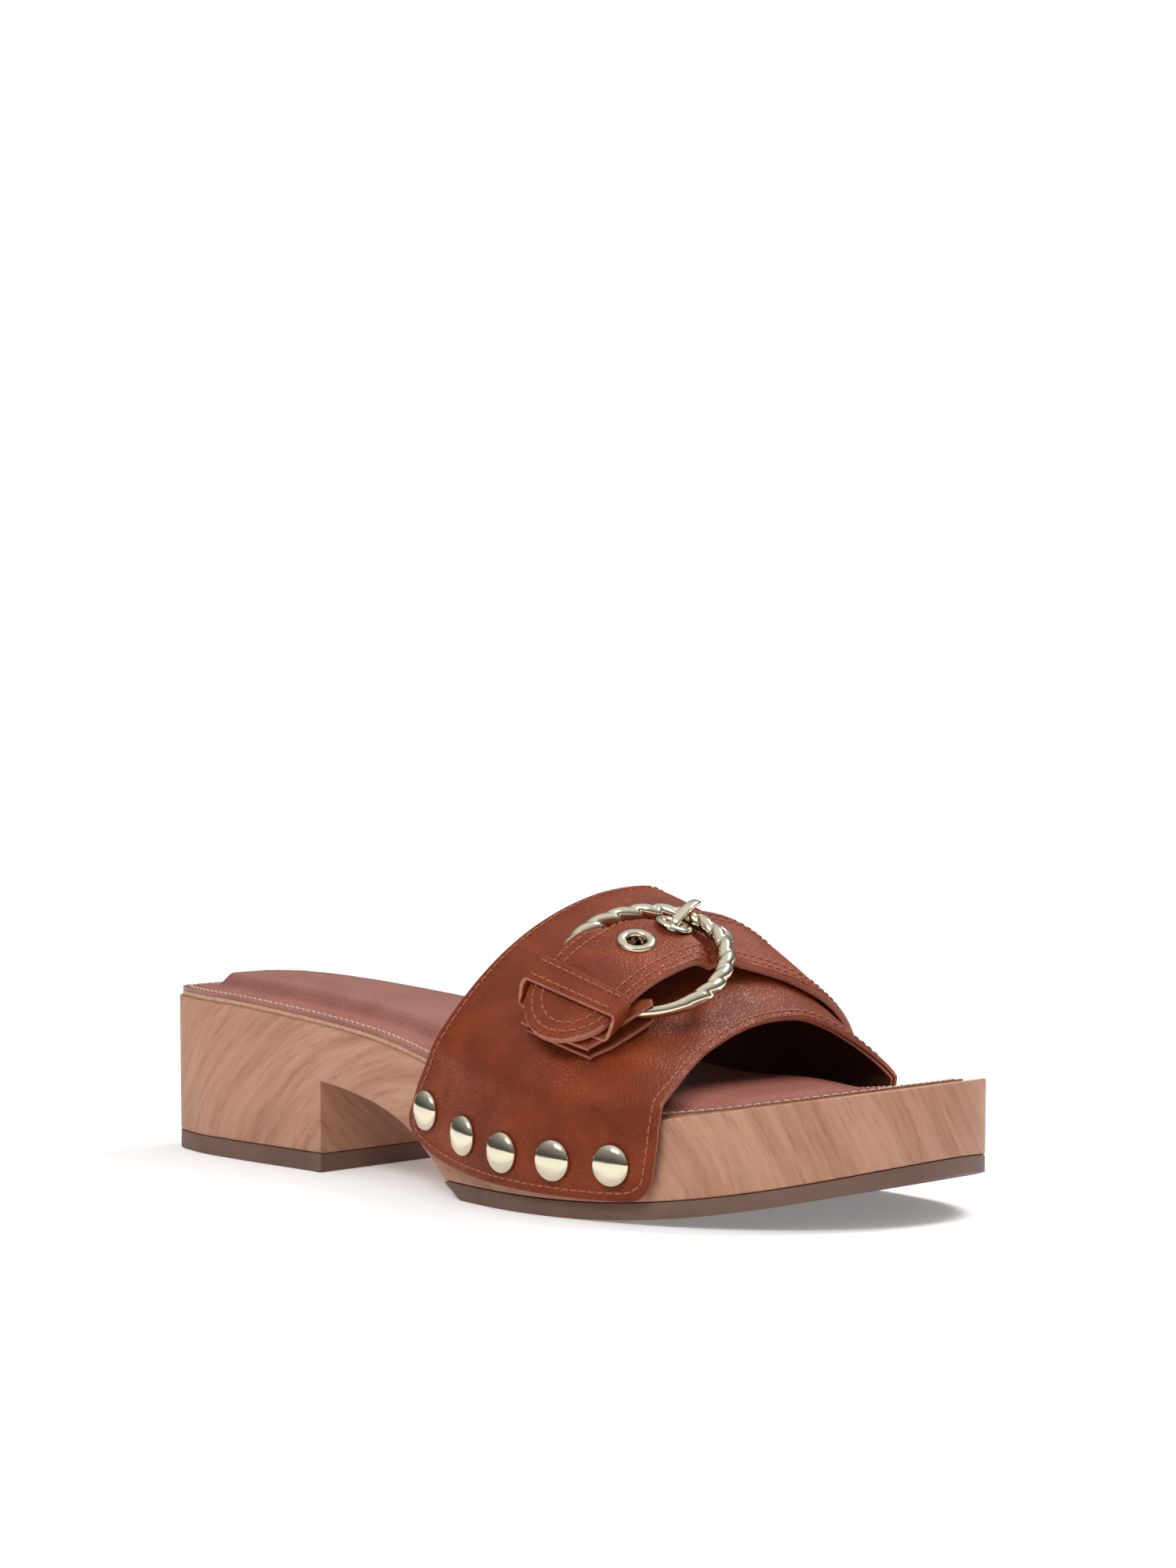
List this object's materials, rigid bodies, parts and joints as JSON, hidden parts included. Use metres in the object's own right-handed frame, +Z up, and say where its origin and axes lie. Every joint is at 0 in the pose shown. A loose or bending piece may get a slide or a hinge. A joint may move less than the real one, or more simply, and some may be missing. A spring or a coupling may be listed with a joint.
{
  "type": "wooden clog",
  "caption": "Right-foot slip-on clog with a carved wooden sole, padded leather footbed and a studded leather vamp closed by a strap and ring buckle.",
  "frame": {"origin": "on the ground under the centre of the clog's bounding box", "axes": "+X to the toe, +Y to the inner (big toe) side of the right foot, +Z up"},
  "size_m": [0.2488, 0.1022, 0.0758],
  "materials": {
    "wood": "matte sanded, open curved grain",
    "rubber": "matte moulded",
    "board": "pressed fibre board edge",
    "foam": "soft foam",
    "sock": "smooth semi-gloss leather",
    "vamp_leather": "smooth waxed leather, fine grain",
    "lining_leather": "matte lining leather",
    "pale_gold": "polished pale gold plate"
  },
  "bodies": {
    "clog": {"wooden_sole": "wood", "heel_top_piece": "rubber", "forefoot_outsole": "rubber", "footbed_board": "board", "footbed_foam": "foam", "insole_sock": "sock", "vamp_outer": "vamp_leather", "vamp_lining": "lining_leather", "stud_outer_1": "pale_gold", "stud_outer_2": "pale_gold", "stud_outer_3": "pale_gold", "stud_outer_4": "pale_gold", "stud_outer_5": "pale_gold", "stud_inner_1": "pale_gold", "stud_inner_2": "pale_gold", "stud_inner_3": "pale_gold", "stud_inner_4": "pale_gold", "stud_inner_5": "pale_gold", "buckle_strap": "vamp_leather", "chape": "vamp_leather", "eyelet_1": "pale_gold", "eyelet_2": "pale_gold", "eyelet_3": "pale_gold"},
    "ring": {"ring_buckle": "pale_gold"},
    "prong": {"prong": "pale_gold"},
    "keeper": {"keeper_loop": "vamp_leather"}
  },
  "joints": [
    {"name": "ring_hinge", "type": "hinge", "parent": "clog", "child": "ring", "pos_m": [0.04938, -0.03115, 0.04958], "axis": [0.9457, 0.2004, -0.256], "range_deg": [0, 1.4]},
    {"name": "prong_hinge", "type": "hinge", "parent": "ring", "child": "prong", "pos_m": [0.04938, -0.03115, 0.04958], "axis": [0.9457, 0.2004, -0.256], "range_deg": [0, 0.8]},
    {"name": "keeper_slide", "type": "slide", "parent": "clog", "child": "keeper", "axis": [-0.115, -0.6523, -0.7492], "range_m": [-0.0003, 0.0007]}
  ]
}
